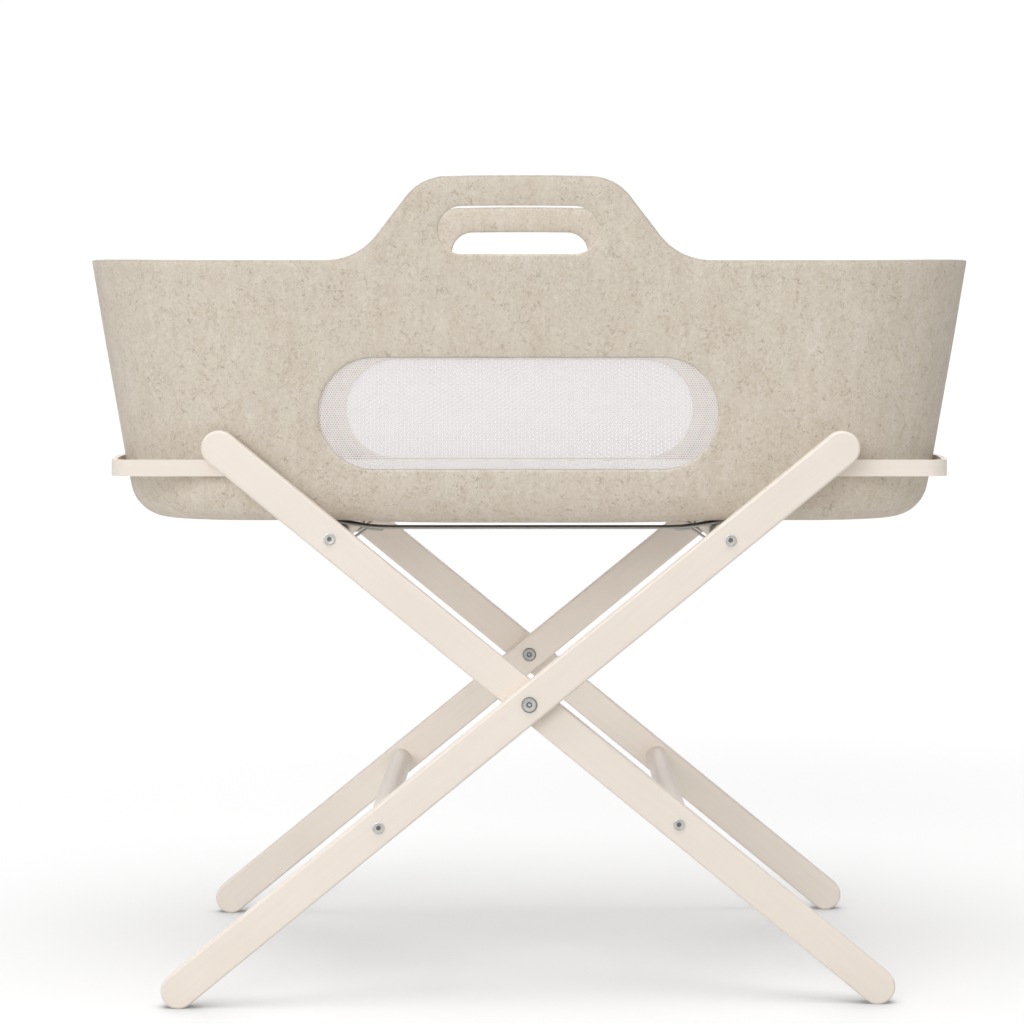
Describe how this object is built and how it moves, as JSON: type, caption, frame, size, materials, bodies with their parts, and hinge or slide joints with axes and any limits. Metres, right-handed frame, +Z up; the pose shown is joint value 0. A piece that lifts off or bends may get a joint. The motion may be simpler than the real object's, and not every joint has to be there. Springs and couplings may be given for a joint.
{
  "type": "bassinet on stand",
  "caption": "Moulded felt Moses basket with cut-out handles, mesh windows and a mattress, resting on the straps and end rails of a folding X stand.",
  "frame": {"origin": "on the floor, midway between the four feet and under the middle of the basket", "axes": "+Z up, X along the basket's length, -Y towards the side seen first"},
  "size_m": [0.836, 0.4518, 0.751],
  "materials": {
    "painted_wood": "satin cream paint",
    "bolt_steel": "zinc-plated satin",
    "nylon": "natural nylon",
    "webbing": "woven grey webbing",
    "felt": "moulded marl felt",
    "mesh": "open knitted mesh",
    "binding": "bonded tape",
    "board": "plain hardboard",
    "mattress_fabric": "white quilted cotton",
    "foam": "open-cell foam",
    "zip_plastic": "white coil zip"
  },
  "bodies": {
    "pivots": {"pivot_bolts": "bolt_steel", "pivot_barrel_nuts": "bolt_steel", "pivot_washers": "nylon", "strap_front": "webbing", "strap_back": "webbing"},
    "basket": {"basket_shell": "felt", "window_mesh_front": "mesh", "window_mesh_back": "mesh", "window_binding_front": "binding", "window_binding_back": "binding", "base_board": "board"},
    "mattress": {"mattress_cover": "mattress_fabric", "mattress_core": "foam", "mattress_zip": "zip_plastic"},
    "frame_a": {"leg_a_front": "painted_wood", "leg_a_back": "painted_wood", "dowel_a_upper": "painted_wood", "dowel_a_lower": "painted_wood", "end_rail_a": "painted_wood", "rail_spacer_a": "painted_wood", "rail_screws_a": "bolt_steel", "crossbar_bolts_a": "bolt_steel", "dowel_inserts_a": "bolt_steel"},
    "frame_b": {"leg_b_front": "painted_wood", "leg_b_back": "painted_wood", "dowel_b_upper": "painted_wood", "dowel_b_lower": "painted_wood", "end_rail_b": "painted_wood", "rail_spacer_b": "painted_wood", "rail_screws_b": "bolt_steel", "crossbar_bolts_b": "bolt_steel", "dowel_inserts_b": "bolt_steel"}
  },
  "joints": [
    {"name": "basket_lift", "type": "slide", "parent": "pivots", "child": "basket", "axis": [0, 0, 1], "range_m": [0, 0.9]},
    {"name": "frame_a_fold", "type": "hinge", "parent": "pivots", "child": "frame_a", "pos_m": [0, 0, 0.27313], "axis": [0, -1, 0], "range_deg": [0, 45], "deforming": ["strap_front", "strap_back"]},
    {"name": "frame_b_fold", "type": "hinge", "parent": "pivots", "child": "frame_b", "pos_m": [0, 0, 0.27313], "axis": [0, 1, 0], "range_deg": [0, 45]},
    {"name": "mattress_lift", "type": "slide", "parent": "basket", "child": "mattress", "axis": [0, 0, 1], "range_m": [0, 0.3]}
  ],
  "couplings": [
    {"joint": "frame_a_fold", "follows": "basket_lift", "rad_per_m": 0.8726},
    {"joint": "frame_b_fold", "follows": "basket_lift", "rad_per_m": 0.8726}
  ]
}
